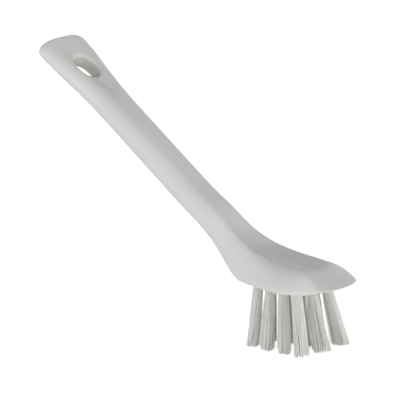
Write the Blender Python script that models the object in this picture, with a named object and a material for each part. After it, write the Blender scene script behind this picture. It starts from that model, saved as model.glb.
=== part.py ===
"""Hand brush: a one-piece moulded handle and head, twelve tufts of filament, and the wire anchor of each tuft.

Metres, +Z up. The brush stands on its trimmed filament ends at Z 0. The thin front edge of the head points to +X,
the handle rises towards -X, and the brush is symmetrical about Y 0. Sizes along the brush are measured behind
the middle of the front edge, and heights on the block above its flat sole.
"""

import math
import random

import bmesh
import bpy
from mathutils import Matrix, Vector

# Fits
CLEARANCE = 0.0003
OVERRUN = 0.002

# Head. The rim runs at one height all round; in front the underside rises to it and leaves a thin scraping edge.
HEAD_LENGTH = 0.0655
HEAD_WIDTH = 0.0506
HEAD_HEIGHT = 0.0142
FRONT_WIDTH = 0.0360
FRONT_BULGE = 0.0034
FRONT_RUN = 0.0202
FRONT_TOP_BULGE = 0.0013
RIDGE_WIDTH = 0.0272
EDGE_HEIGHT = 0.0035
EDGE_THICKNESS = 0.0008
LIP_SLOPE = 0.0006
DISH_DEPTH = 0.0018

# Neck: how far and how high the straight handle starts from the end of the sole
NECK_LENGTH = 0.0483
NECK_RISE = 0.0413

# Handle
HANDLE_LENGTH = 0.1503
HANDLE_ANGLE = math.radians(35.8)
HANDLE_WIDTH = 0.0262
HANDLE_THICKNESS = 0.0156
PADDLE_WIDTH = 0.0396
PADDLE_THICKNESS = 0.0120

# Hanging hole, with its flared rims and the groove that runs from it towards the head
HOLE_FROM_END = 0.0278
HOLE_LENGTH = 0.0200
HOLE_WIDTH = 0.0136
HOLE_FLARE = 0.0015
GROOVE_LENGTH = 0.0150
GROOVE_WIDTH = 0.0100
GROOVE_DEPTH = 0.0032
GROOVE_TIP_RISE = 0.0012
HOLE_SIDES = 32

# Tufts. The outer ones stand at a share of the head's half width, and draw in towards the neck with the head.
TUFT_ROWS = 4
TUFT_FIRST = 0.0253
TUFT_PITCH = 0.0112
TUFT_SPREAD_SHARE = 0.51383
TUFT_DRAW_IN = 0.0020
TUFT_HOLE_DIAMETER = 0.0068
TUFT_HOLE_DEPTH = 0.0095
TUFT_HOLE_SIDES = 16
TUFT_ROOT_DEPTH = 0.0088
BRISTLE_LENGTH = 0.0390
BRISTLE_GAP = 0.00018
LEAN_FRONT = 0.0068
LEAN_REAR = 0.0028
LEAN_SIDE = 0.0042
TUFT_FAN = 0.0020
TRIM_DEPTH = 0.0005
TRIM_UNEVEN = 0.0026
CELLS_ALONG = 6
CELLS_ACROSS = 5

# Anchors
ANCHOR_LENGTH = 0.0072
ANCHOR_HEIGHT = 0.0020
ANCHOR_THICKNESS = 0.0004

# Head sections from the front crease to the end of the sole. Shares, in order: the top's place between the front
# facet and the sole's end; the rim's place along the head; how far the underside has risen towards the front edge;
# half width of the rim over the head's width; half width of the ridge over the ridge's width; height of the ridge
# over the head's height.
head_section_shares = (
    (0.00, None, 1.0, 0.356, 0.490, 1.00),
    (0.07, 0.150, 0.5, 0.404, 0.500, 1.01),
    (0.20, 0.300, 0.1, 0.470, 0.500, 1.06),
    (0.43, 0.500, 0.0, 0.497, 0.490, 1.14),
    (0.65, 0.700, 0.0, 0.432, 0.475, 1.25),
    (0.86, 0.880, 0.0, 0.352, 0.455, 1.42),
    (1.00, 1.000, 0.0, 0.310, 0.434, 1.55),
)
# Neck sections from the sole's end to the straight handle: the top's place and height, the bottom's place and
# height, and how far the side and the ridge have narrowed.
neck_section_shares = (
    (0.17, 0.135, 0.125, 0.000, 0.30, 0.22),
    (0.33, 0.265, 0.285, 0.045, 0.62, 0.50),
    (0.53, 0.510, 0.475, 0.360, 0.92, 0.80),
    (0.77, 0.800, 0.680, 0.690, 1.00, 0.95),
)
# Handle sections along the straight handle: the place, then how far width and thickness have gone from the
# handle's to the paddle's.
handle_section_shares = (
    (0.02, 0.00, 0.00),
    (0.30, 0.00, 0.06),
    (0.58, 0.06, 0.30),
    (0.75, 0.40, 0.66),
    (0.87, 0.88, 0.96),
    (0.950, 1.00, 1.00),
    (0.990, 0.74, 1.04),
    (1.000, 0.05, 1.20),
)
# Half of a handle section, from the middle of its top round to the middle of its underside: half widths and
# heights as shares of half the width and half the thickness.
handle_outline_shares = (
    (0.00, 1.00),
    (0.30, 1.00),
    (0.60, 0.93),
    (0.97, 0.45),
    (1.00, -0.25),
    (0.80, -0.92),
    (0.40, -1.00),
    (0.00, -1.00),
)
# Creases of the smoothed block, from 0 for round to 1 for sharp
SOLE_CREASE_SHARE = 1.0
RIM_CREASE_SHARE = 0.75
RIDGE_CREASE_SHARE = 0.35
FRONT_CREASE_SHARE = 0.80
EDGE_CREASE_SHARE = 0.95
SMOOTHING_LEVELS = 2

MIDDLE_TOP, INNER_TOP, RIDGE, SIDE, RIM, SOLE_EDGE, INNER_SOLE, MIDDLE_SOLE = range(8)
HALF_COUNT = 8
RING_COUNT = 14


def lerp(start, end, share):
    return start + (end - start) * share


def whole_ring(half):
    """A closed section from its half at +Y: eight points down the left side, then six mirrored ones back up."""
    mirrored = [Vector((point.x, -point.y, point.z)) for point in reversed(half[1:-1])]
    return half + mirrored


def front_edge_at(half_width):
    """How far the convex front edge has drawn back at this distance from the middle."""
    return FRONT_BULGE * (2 * half_width / FRONT_WIDTH) ** 2


def head_half(top_back, rim_back, risen, rim_half_width, ridge_half_width, ridge_height):
    """Half of a head section, from the dished top over the ridge and the side facet to the rim and the sole."""
    ridge = Vector((-top_back, ridge_half_width, ridge_height))
    rim = Vector((-rim_back, rim_half_width, EDGE_HEIGHT))
    bulge = FRONT_TOP_BULGE * risen
    sole_height = (EDGE_HEIGHT - EDGE_THICKNESS) * risen
    sole_half_width = rim_half_width - LIP_SLOPE
    sole_back = rim_back + LIP_SLOPE * risen
    middle_back = sole_back - front_edge_at(rim_half_width) * risen
    return [
        Vector((-top_back + bulge, 0, ridge_height - DISH_DEPTH)),
        Vector((-top_back + bulge * 0.75, ridge_half_width / 2, ridge_height - DISH_DEPTH * 0.8)),
        ridge,
        ridge.lerp(rim, 0.5),
        rim,
        Vector((-sole_back, sole_half_width, sole_height)),
        Vector((-lerp(middle_back, sole_back, 0.25), sole_half_width / 2, sole_height)),
        Vector((-middle_back, 0, sole_height)),
    ]


def head_sections():
    sections = []
    for top, rim, risen, rim_half, ridge_half, height in head_section_shares:
        rim_half_width = rim_half * HEAD_WIDTH
        sections.append(
            whole_ring(
                head_half(
                    top_back=lerp(FRONT_RUN, HEAD_LENGTH, top),
                    rim_back=front_edge_at(rim_half_width) if rim is None else rim * HEAD_LENGTH,
                    risen=risen,
                    rim_half_width=rim_half_width,
                    ridge_half_width=ridge_half * RIDGE_WIDTH,
                    ridge_height=height * HEAD_HEIGHT,
                )
            )
        )
    return sections


def along_handle(distance, height=0):
    """The point this far up the handle's axis from where the straight handle starts, and this far above the axis."""
    back = HEAD_LENGTH + NECK_LENGTH
    back += distance * math.cos(HANDLE_ANGLE) - height * math.sin(HANDLE_ANGLE)
    rise = NECK_RISE + distance * math.sin(HANDLE_ANGLE) + height * math.cos(HANDLE_ANGLE)
    return Vector((-back, 0, rise))


def handle_half(place, width, thickness):
    return [
        along_handle(place, level * thickness / 2) + Vector((0, side * width / 2, 0))
        for side, level in handle_outline_shares
    ]


def neck_sections(head_end):
    """Sections that turn the head's last section into the handle's first one."""
    handle_start = handle_half(0, HANDLE_WIDTH, HANDLE_THICKNESS)
    sections = []
    for top_place, top_rise, sole_place, sole_rise, narrowed, ridge_narrowed in neck_section_shares:
        half = []
        for index in range(HALF_COUNT):
            start, end = head_end[index], handle_start[index]
            down = {SIDE: 0.5, RIM: 0.85}.get(index, float(index > RIM))
            place = lerp(top_place, sole_place, down)
            rise = lerp(top_rise, sole_rise, down)
            across = ridge_narrowed if index <= RIDGE else narrowed
            point = Vector((lerp(start.x, end.x, place), lerp(start.y, end.y, across), lerp(start.z, end.z, rise)))
            half.append(point)
        sections.append(whole_ring(half))
    return sections


def handle_sections():
    sections = []
    for place, widened, thinned in handle_section_shares:
        width = lerp(HANDLE_WIDTH, PADDLE_WIDTH, widened)
        thickness = lerp(HANDLE_THICKNESS, PADDLE_THICKNESS, thinned)
        sections.append(whole_ring(handle_half(place * HANDLE_LENGTH, width, thickness)))
    return sections


def front_rows(crease_ring):
    """Points inside the front facet: its middle row, and the thin front edge above the sole."""
    top = [crease_ring[index] for index in (-RIDGE, -INNER_TOP, 0, INNER_TOP, RIDGE)]
    rim_half_width = crease_ring[RIM].y
    edge, middle = [], []
    for column in (1, 2, 3):
        across = rim_half_width * (column - 2) / 2
        point = Vector((-front_edge_at(across), across, EDGE_HEIGHT))
        edge.append(point)
        middle.append(top[column].lerp(point, 0.5))
    return middle, edge


def block_cage():
    """The control cage of the block: sections joined by quads, a front facet and a rounded end."""
    head = head_sections()
    sections = head + neck_sections(head[-1]) + handle_sections()
    mesh = bmesh.new()
    rings = [[mesh.verts.new(point) for point in section] for section in sections]
    for near, far in zip(rings, rings[1:]):
        for index in range(RING_COUNT):
            after = (index + 1) % RING_COUNT
            mesh.faces.new((near[index], far[index], far[after], near[after]))
    crease, end = rings[0], rings[-1]
    middle, edge = front_rows(sections[0])
    middle = [mesh.verts.new(point) for point in middle]
    edge = [mesh.verts.new(point) for point in edge]
    top_row = [crease[index] for index in (-RIDGE, -INNER_TOP, 0, INNER_TOP, RIDGE)]
    middle_row = [crease[-SIDE]] + middle + [crease[SIDE]]
    edge_row = [crease[-RIM]] + edge + [crease[RIM]]
    sole_row = [crease[-SOLE_EDGE], crease[-INNER_SOLE], crease[MIDDLE_SOLE], crease[INNER_SOLE], crease[SOLE_EDGE]]
    for upper, lower in ((top_row, middle_row), (middle_row, edge_row), (edge_row, sole_row)):
        for column in range(4):
            mesh.faces.new((upper[column], upper[column + 1], lower[column + 1], lower[column]))
    end_top = [end[index] for index in (-RIDGE, -INNER_TOP, 0, INNER_TOP, RIDGE)]
    end_sole = [end[-SOLE_EDGE], end[-INNER_SOLE], end[MIDDLE_SOLE], end[INNER_SOLE], end[SOLE_EDGE]]
    for column in range(4):
        mesh.faces.new((end_top[column], end_sole[column], end_sole[column + 1], end_top[column + 1]))
    for sign in (1, -1):
        mesh.faces.new([end[sign * index] for index in (RIDGE, SIDE, RIM, SOLE_EDGE)])
    bmesh.ops.recalc_face_normals(mesh, faces=mesh.faces)
    crease_block(mesh, rings, len(head), top_row, edge_row, sole_row)
    return mesh


def crease_run(mesh, layer, points, value):
    for first, second in zip(points, points[1:]):
        mesh.edges.get((first, second))[layer] = value


def crease_block(mesh, rings, head_count, top_row, edge_row, sole_row):
    """Crisp sole and rim, soft ridges that fade into the neck, and the crease round the front facet."""
    layer = mesh.edges.layers.float.new("crease_edge")
    for sign in (1, -1):
        line = {name: [ring[sign * name] for ring in rings] for name in (RIDGE, RIM, SOLE_EDGE)}
        crease_run(mesh, layer, line[SOLE_EDGE][:head_count], SOLE_CREASE_SHARE)
        crease_run(mesh, layer, line[RIM][:head_count], RIM_CREASE_SHARE)
        crease_run(mesh, layer, line[RIDGE][: head_count + 1], RIDGE_CREASE_SHARE)
        corner = [rings[0][sign * name] for name in (RIDGE, SIDE, RIM)]
        crease_run(mesh, layer, corner, FRONT_CREASE_SHARE)
    crease_run(mesh, layer, top_row, RIDGE_CREASE_SHARE)
    crease_run(mesh, layer, edge_row, EDGE_CREASE_SHARE)
    crease_run(mesh, layer, sole_row, SOLE_CREASE_SHARE)


def new_object(name, mesh, material, parent):
    data = bpy.data.meshes.new(name)
    mesh.to_mesh(data)
    mesh.free()
    made = bpy.data.objects.new(name, data)
    made.parent = parent
    if material:
        data.materials.append(material)
    bpy.context.scene.collection.objects.link(made)
    return made


def hide_cutter(cutter):
    cutter.hide_render = True
    cutter.display_type = "WIRE"


def cut(target, cutter):
    modifier = target.modifiers.new("cut_" + cutter.name, "BOOLEAN")
    modifier.operation = "DIFFERENCE"
    modifier.object = cutter


def oval(length, width, height, count=HOLE_SIDES):
    """A stadium-like oval in its own plane, as points round a superellipse."""
    points = []
    for step in range(count):
        angle = 2 * math.pi * step / count
        along = math.copysign(abs(math.cos(angle)) ** 0.85, math.cos(angle)) * length / 2
        across = math.copysign(abs(math.sin(angle)) ** 0.85, math.sin(angle)) * width / 2
        points.append(Vector((along, across, height)))
    return points


def loft(mesh, sections):
    rings = [[mesh.verts.new(point) for point in section] for section in sections]
    for low, high in zip(rings, rings[1:]):
        for index in range(len(low)):
            after = (index + 1) % len(low)
            mesh.faces.new((low[index], low[after], high[after], high[index]))
    mesh.faces.new(reversed(rings[0]))
    mesh.faces.new(rings[-1])


def hole_cutter(parent):
    """The hanging hole across the paddle, wider at both faces. Its +X points down the handle, to the head."""
    half = PADDLE_THICKNESS / 2
    levels = (
        (-half - OVERRUN, HOLE_FLARE + OVERRUN),
        (-half, HOLE_FLARE),
        (-half + HOLE_FLARE * 0.6, HOLE_FLARE * 0.35),
        (-half + HOLE_FLARE * 1.6, 0),
        (half - HOLE_FLARE * 1.6, 0),
        (half - HOLE_FLARE * 0.6, HOLE_FLARE * 0.35),
        (half, HOLE_FLARE),
        (half + OVERRUN, HOLE_FLARE + OVERRUN),
    )
    mesh = bmesh.new()
    loft(mesh, [oval(HOLE_LENGTH + 2 * wider, HOLE_WIDTH + 2 * wider, level) for level, wider in levels])
    cutter = new_object("hole_cutter", mesh, None, parent)
    place_on_paddle(cutter)
    return cutter


def groove_cutter(parent):
    """The pointed groove that the hole's upper rim runs out in: a flattened cone lying in the upper face."""
    reach = GROOVE_LENGTH + HOLE_LENGTH / 2
    mesh = bmesh.new()
    bmesh.ops.create_cone(
        mesh,
        cap_ends=True,
        segments=HOLE_SIDES // 2,
        radius1=GROOVE_WIDTH / 2,
        radius2=0,
        depth=reach,
    )
    flatten = Matrix.Diagonal((GROOVE_DEPTH / (GROOVE_WIDTH / 2), 1, 1, 1))
    bmesh.ops.transform(mesh, matrix=flatten, verts=mesh.verts)
    lie_down = Matrix.Rotation(math.pi / 2 - math.atan2(GROOVE_TIP_RISE, reach), 4, "Y")
    slide = Matrix.Translation((reach / 2, 0, PADDLE_THICKNESS / 2 + GROOVE_TIP_RISE / 2))
    bmesh.ops.transform(mesh, matrix=slide @ lie_down, verts=mesh.verts)
    cutter = new_object("groove_cutter", mesh, None, parent)
    place_on_paddle(cutter)
    return cutter


def place_on_paddle(cutter):
    cutter.location = along_handle(HANDLE_LENGTH - HOLE_FROM_END)
    cutter.location.z += BRISTLE_LENGTH
    cutter.rotation_euler = (0, HANDLE_ANGLE, 0)
    hide_cutter(cutter)


def tuft_places():
    """Row and side names of each tuft, its place on the sole, and how far its tip leans from it."""
    places = []
    for row in range(TUFT_ROWS):
        share = row / (TUFT_ROWS - 1)
        back = TUFT_FIRST + row * TUFT_PITCH
        across = TUFT_SPREAD_SHARE * HEAD_WIDTH / 2 - TUFT_DRAW_IN * max(0.0, 2 * share - 1)
        lean = lerp(LEAN_FRONT, -LEAN_REAR, share)
        for side, name in ((1, "left"), (0, "middle"), (-1, "right")):
            root = Vector((-back, side * across, BRISTLE_LENGTH))
            places.append((f"row{row + 1}_{name}", root, Vector((lean, side * LEAN_SIDE, 0))))
    return places


def tuft_hole_cutter(parent):
    """All blind tuft holes, with the short slots that the anchors' ends bite into."""
    mesh = bmesh.new()
    for _, root, _ in tuft_places():
        middle = Vector((root.x, root.y, root.z + (TUFT_HOLE_DEPTH - OVERRUN) / 2))
        bmesh.ops.create_cone(
            mesh,
            cap_ends=True,
            segments=TUFT_HOLE_SIDES,
            radius1=TUFT_HOLE_DIAMETER / 2,
            radius2=TUFT_HOLE_DIAMETER / 2,
            depth=TUFT_HOLE_DEPTH + OVERRUN,
            matrix=Matrix.Translation(middle),
        )
    cutter = new_object("tuft_hole_cutter", mesh, None, parent)
    hide_cutter(cutter)
    return cutter


def anchor_size(margin=0):
    return Vector((ANCHOR_THICKNESS, ANCHOR_LENGTH, ANCHOR_HEIGHT)) + Vector((2, 2, 2)) * margin


def anchor_centre(root):
    """Anchors sit in the fold at the top of the tuft, a clearance under the hole's blind end."""
    return root + Vector((0, 0, TUFT_HOLE_DEPTH - CLEARANCE - ANCHOR_HEIGHT / 2))


def box(mesh, centre, size):
    place = Matrix.Translation(centre) @ Matrix.Diagonal((*size, 1))
    bmesh.ops.create_cube(mesh, size=1, matrix=place)


def anchor_slot_cutter(parent):
    mesh = bmesh.new()
    for _, root, _ in tuft_places():
        box(mesh, anchor_centre(root), anchor_size(CLEARANCE))
    cutter = new_object("anchor_slot_cutter", mesh, None, parent)
    hide_cutter(cutter)
    return cutter


def handle_body(parent, material):
    body = new_object("handle_body", block_cage(), material, parent)
    body.location.z = BRISTLE_LENGTH
    body.data.shade_smooth()
    smooth = body.modifiers.new("smooth", "SUBSURF")
    smooth.levels = SMOOTHING_LEVELS
    smooth.render_levels = SMOOTHING_LEVELS
    for cutter in (hole_cutter(parent), groove_cutter(parent), tuft_hole_cutter(parent), anchor_slot_cutter(parent)):
        cut(body, cutter)
    return body


def in_disc(column, row, radius):
    """A grid corner moved so that the square grid fills a disc."""
    across = 2 * column / CELLS_ACROSS - 1
    along = 2 * row / CELLS_ALONG - 1
    x = along * math.sqrt(1 - across * across / 2)
    y = across * math.sqrt(1 - along * along / 2)
    return Vector((x * radius, y * radius, 0))


def tuft_mesh(root, lean, seed):
    """A root plug, and one four-sided strand from each cell of its lower face, fanned out and trimmed."""
    draw = random.Random(seed)
    radius = TUFT_HOLE_DIAMETER / 2 - CLEARANCE
    mesh = bmesh.new()
    corners = [[mesh.verts.new(in_disc(i, j, radius)) for i in range(CELLS_ACROSS + 1)] for j in range(CELLS_ALONG + 1)]
    cells = []
    for j in range(CELLS_ALONG):
        for i in range(CELLS_ACROSS):
            cells.append(mesh.faces.new((corners[j][i], corners[j][i + 1], corners[j + 1][i + 1], corners[j + 1][i])))
    rim = corners[0][:] + [row[-1] for row in corners[1:]]
    rim += list(reversed(corners[-1][:-1])) + [row[0] for row in reversed(corners[1:-1])]
    upper = [mesh.verts.new(vertex.co + Vector((0, 0, TUFT_ROOT_DEPTH))) for vertex in rim]
    for index, vertex in enumerate(rim):
        after = (index + 1) % len(rim)
        mesh.faces.new((vertex, rim[after], upper[after], upper[index]))
    mesh.faces.new(upper)
    mesh.normal_update()
    bmesh.ops.inset_individual(mesh, faces=cells, thickness=BRISTLE_GAP)
    strands = bmesh.ops.extrude_discrete_faces(mesh, faces=cells)["faces"]
    for face in strands:
        uneven = draw.uniform(0, 1) ** 2 * TRIM_UNEVEN
        for vertex in face.verts:
            fan = vertex.co.xy * (TUFT_FAN / radius)
            tip = max(0.0, uneven - TRIM_DEPTH)
            vertex.co = Vector((vertex.co.x + lean.x + fan.x, vertex.co.y + lean.y + fan.y, tip - BRISTLE_LENGTH))
    bmesh.ops.recalc_face_normals(mesh, faces=mesh.faces)
    bmesh.ops.translate(mesh, verts=mesh.verts, vec=root)
    return mesh


def tufts(parent, material, slots):
    for seed, (name, root, lean) in enumerate(tuft_places()):
        tuft = new_object("tuft_" + name, tuft_mesh(root, lean, seed), material, parent)
        cut(tuft, slots)


def anchors(parent, material):
    for name, root, _ in tuft_places():
        mesh = bmesh.new()
        box(mesh, anchor_centre(root), anchor_size())
        new_object("anchor_" + name, mesh, material, parent)


def plain_material(name, colour, roughness, metallic=0.0):
    material = bpy.data.materials.new(name)
    material.use_nodes = True
    shader = material.node_tree.nodes["Principled BSDF"]
    shader.inputs["Base Color"].default_value = (*colour, 1)
    shader.inputs["Roughness"].default_value = roughness
    shader.inputs["Metallic"].default_value = metallic
    material.diffuse_color = (*colour, 1)
    return material


def clear_scene():
    for leftover in list(bpy.data.objects):
        bpy.data.objects.remove(leftover)


def centre_on_block(frame, body):
    """Moves the frame so that the origin lies under the middle of the block's length."""
    bpy.context.view_layer.update()
    solid = body.evaluated_get(bpy.context.evaluated_depsgraph_get())
    reach = [(solid.matrix_world @ Vector(corner)).x for corner in solid.bound_box]
    frame.location.x = -(min(reach) + max(reach)) / 2
    print(f"brush length {max(reach) - min(reach):.4f} m")


def main():
    clear_scene()
    frame = bpy.data.objects.new("brush_frame", None)
    bpy.context.scene.collection.objects.link(frame)
    moulded = plain_material("moulded_white_plastic", (0.78, 0.78, 0.75), 0.42)
    filament = plain_material("white_filament", (0.74, 0.74, 0.70), 0.35)
    steel = plain_material("anchor_steel", (0.55, 0.55, 0.54), 0.3, 1.0)
    body = handle_body(frame, moulded)
    tufts(frame, filament, bpy.data.objects["anchor_slot_cutter"])
    anchors(frame, steel)
    centre_on_block(frame, body)


if __name__ == "__main__":
    main()
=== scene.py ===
# %% [markdown]
# # A moulded hand brush
#
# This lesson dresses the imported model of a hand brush: a white plastic block with a hanging hole, and twelve tufts of
# stiff filament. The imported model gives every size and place. Here the block gets a finely smoothed surface with
# soft moulded edges, each tuft gets its real number of thin filaments, and every surface gets a material with the
# small changes of tone, gloss and height that a real one shows.

import math
import random

import bmesh
import bpy
from mathutils import Matrix, Vector


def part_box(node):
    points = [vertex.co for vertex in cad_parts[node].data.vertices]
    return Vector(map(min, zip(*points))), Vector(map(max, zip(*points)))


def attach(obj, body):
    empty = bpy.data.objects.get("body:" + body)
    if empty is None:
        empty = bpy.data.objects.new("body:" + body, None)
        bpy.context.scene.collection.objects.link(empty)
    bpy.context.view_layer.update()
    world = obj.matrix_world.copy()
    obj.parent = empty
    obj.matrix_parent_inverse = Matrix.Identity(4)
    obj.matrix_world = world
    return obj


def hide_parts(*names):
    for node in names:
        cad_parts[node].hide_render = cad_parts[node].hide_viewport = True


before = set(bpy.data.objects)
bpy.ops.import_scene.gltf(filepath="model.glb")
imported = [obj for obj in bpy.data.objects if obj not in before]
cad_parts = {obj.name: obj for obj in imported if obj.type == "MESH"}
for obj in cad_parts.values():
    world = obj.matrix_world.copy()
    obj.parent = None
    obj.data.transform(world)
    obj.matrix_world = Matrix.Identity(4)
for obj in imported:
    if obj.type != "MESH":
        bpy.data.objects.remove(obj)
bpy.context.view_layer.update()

# %% [markdown]
# ## Where things are
#
# The brush stands on its filament ends, so the sole of the block is a filament's length above the floor. Along the
# brush, places are counted backwards from the middle of the front edge, which is how one would lay out the real
# mould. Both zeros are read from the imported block. Its rounded edge ends a little before the corner that the mould
# was laid out from, and this small loss is added back. Sizes are written in millimetres, and Blender gets metres.

# %% Zeros of the brush
MM = 0.001
EDGE_ROUNDING = 0.43 * MM
SOLE_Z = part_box("handle_body")[0][2]
FRONT_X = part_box("handle_body")[1][0] + EDGE_ROUNDING


def at(back, across, above):
    """A point this far behind the front edge, to the left of the middle, and above the sole, in millimetres."""
    return Vector((FRONT_X - back * MM, across * MM, SOLE_Z + above * MM))


def lerp(start, end, share):
    """The value that lies this share of the way from start to end."""
    return start + (end - start) * share


print(f"sole {SOLE_Z * 1000:.1f} mm above the floor, front edge at x {FRONT_X * 1000:.1f} mm")

# %% [markdown]
# ## Camera
#
# The photograph looks at the brush's right front from a little above, with a long lens, so its edges hardly converge.
# The camera is set before any modelling: each step can then be compared with the photograph. It stands two and a
# half metres away, aims at the point of the brush that lies in the middle of the picture, and is rolled by three
# degrees.

# %% Set up the camera
VIEW_AZIMUTH = math.radians(45)
VIEW_ELEVATION = math.radians(13.3)
VIEW_ROLL = math.radians(-2.9)
VIEW_DISTANCE = 2.5
PIXELS_PER_METRE = 1624
IMAGE_WIDTH = 400
SENSOR_WIDTH = 36
CLIP_END = 20
aim = at(116.3, 0, 42.1)

towards_camera = Vector(
    (
        math.sin(VIEW_AZIMUTH) * math.cos(VIEW_ELEVATION),
        -math.cos(VIEW_AZIMUTH) * math.cos(VIEW_ELEVATION),
        math.sin(VIEW_ELEVATION),
    )
)
bpy.ops.object.camera_add(location=aim + towards_camera * VIEW_DISTANCE)
camera = bpy.context.object
camera.name = "photo_camera"
roll = Matrix.Rotation(VIEW_ROLL, 3, "Z").to_quaternion()
camera.rotation_euler = (towards_camera.to_track_quat("Z", "Y") @ roll).to_euler()
camera.data.sensor_width = SENSOR_WIDTH
camera.data.lens = SENSOR_WIDTH * VIEW_DISTANCE * PIXELS_PER_METRE / IMAGE_WIDTH
camera.data.clip_end = CLIP_END
bpy.context.scene.camera = camera
print(f"lens {camera.data.lens:.0f} mm at {VIEW_DISTANCE} m")

# %% [markdown]
# ## Helpers for modelling by hand
#
# Operators act on whatever is selected, so each piece starts with nothing selected. Faces and edges are picked by
# where they lie, as one would click on them, and a finished piece keeps its place in its mesh with its object at the
# origin.


# %% Selecting and finishing
def select_nothing():
    if bpy.context.object and bpy.context.object.mode != "OBJECT":
        bpy.ops.object.mode_set(mode="OBJECT")
    bpy.ops.object.select_all(action="DESELECT")


def select_only(*pieces):
    """Selects these pieces and nothing else, with the first as the active one."""
    select_nothing()
    for piece in pieces:
        piece.select_set(True)
    bpy.context.view_layer.objects.active = pieces[0]


def start_editing(piece):
    """Opens this piece for editing with nothing picked, and returns its editable mesh."""
    select_only(piece)
    bpy.ops.object.mode_set(mode="EDIT")
    bpy.ops.mesh.select_all(action="DESELECT")
    return bmesh.from_edit_mesh(piece.data)


def pick(mesh, parts, mode="VERT"):
    """Picks these parts of the mesh that is being edited, and nothing else. In corner mode, an edge or a face
    counts as picked as soon as all its corners are."""
    bpy.ops.mesh.select_mode(type=mode)
    bpy.ops.mesh.select_all(action="DESELECT")
    for part in parts:
        part.select_set(True)
    mesh.select_flush_mode()


def stop_editing(piece):
    bmesh.update_edit_mesh(piece.data)
    bpy.ops.object.mode_set(mode="OBJECT")


def apply_modifier(piece, kind, **settings):
    bpy.context.view_layer.objects.active = piece
    modifier = piece.modifiers.new(kind.lower(), kind)
    for name, value in settings.items():
        setattr(modifier, name, value)
    bpy.ops.object.modifier_apply(modifier=modifier.name)


def settle(piece):
    """Moves the object's place into its mesh, so that the object sits at the origin."""
    select_only(piece)
    bpy.ops.object.transform_apply(location=True, rotation=True, scale=True)


def report(piece):
    size = [f"{side * 1000:.1f}" for side in piece.dimensions]
    print(f"{piece.name}: {len(piece.data.polygons)} faces, {' x '.join(size)} mm")


print("modelling helpers ready")

# %% [markdown]
# ## The block
#
# Handle, neck and head are one moulding. Its sections change from a flat diamond with a sharp rim at the head to a
# rounded bar at the handle and a flat paddle at the end. Such a form is a loft: a few sections with the same number
# of corners, one after the other. A ring of fourteen corners is extruded from section to section, each new ring is
# slid to its place, and Subdivision Surface then draws one smooth skin over the cage. Cutting the same form from
# solids would leave hard seams that the real moulding doesn't have.
#
# Every corner has a name, so that the same line can be followed from section to section. A negative number is the
# same corner on the right side.

# %% Corners of a section
HALF_CORNERS = ("middle_top", "inner_top", "ridge", "side", "rim", "sole_edge", "inner_sole", "middle_sole")
MIDDLE_TOP, INNER_TOP, RIDGE, SIDE, RIM, SOLE_EDGE, INNER_SOLE, MIDDLE_SOLE = range(len(HALF_CORNERS))
RING_CORNERS = 2 * len(HALF_CORNERS) - 2


def whole_ring(half):
    """A closed section from its left half, listed from the middle of the top round to the middle of the sole."""
    return half + [Vector((corner.x, -corner.y, corner.z)) for corner in reversed(half[1:-1])]


print("corners of a half section:", ", ".join(HALF_CORNERS))

# %% [markdown]
# The head has a shallow valley along its top, between two soft ridges. From the ridges its sides slope outwards, a
# little swollen, to a rim low down, and the sole is flat. In front the rim runs out into a convex, thin scraping
# edge, and the underside rises to meet it. A section's rim lies further forward than its top, so each has a distance
# of its own.

# %% Sizes of the head
HALF_FRONT = 18.0
FRONT_BULGE = 3.4
FRONT_TOP_BULGE = 1.3
EDGE_HEIGHT = 3.1
EDGE_THICKNESS = 0.8
LIP_SLOPE = 0.6
DISH_DEPTH = 2.1
SIDE_SWELL, SIDE_SWELL_FRONT = 2.2, 1.7

# The inner corner of the top, between the middle and the ridge: its shares of the ridge's distance from the middle,
# of the valley's depth and of the front's bulge.
INNER_TOP_ACROSS, INNER_TOP_DEPTH, INNER_TOP_BULGE = 0.62, 0.95, 0.75
# How much of the set-back of the sole's edge its inner corner takes.
INNER_SOLE_BACK = 0.25

# From the front crease to the end of the sole, in millimetres: how far back the top lies, how far back the rim lies,
# how far the underside has risen towards the front edge, half width at the rim, half width at the ridge, and the
# ridge's height.
HEAD_SECTIONS = (
    (18.8, 3.4, 1.0, 18.0, 11.7, 14.4),
    (22.5, 9.8, 0.5, 20.4, 11.8, 14.7),
    (28.9, 19.6, 0.1, 23.8, 11.9, 15.4),
    (39.4, 32.7, 0.0, 25.1, 11.8, 16.5),
    (49.5, 45.8, 0.0, 22.0, 11.7, 18.0),
    (59.2, 57.6, 0.0, 19.0, 11.5, 20.1),
    (65.5, 64.6, 0.0, 17.8, 11.2, 21.8),
)
print(len(HEAD_SECTIONS), "head sections, widest", 2 * max(section[3] for section in HEAD_SECTIONS), "mm")


# %% Draw the head sections
def front_edge_at(across):
    """How far the convex front edge has drawn back at this distance from the middle."""
    return FRONT_BULGE * (across / HALF_FRONT) ** 2


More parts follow.
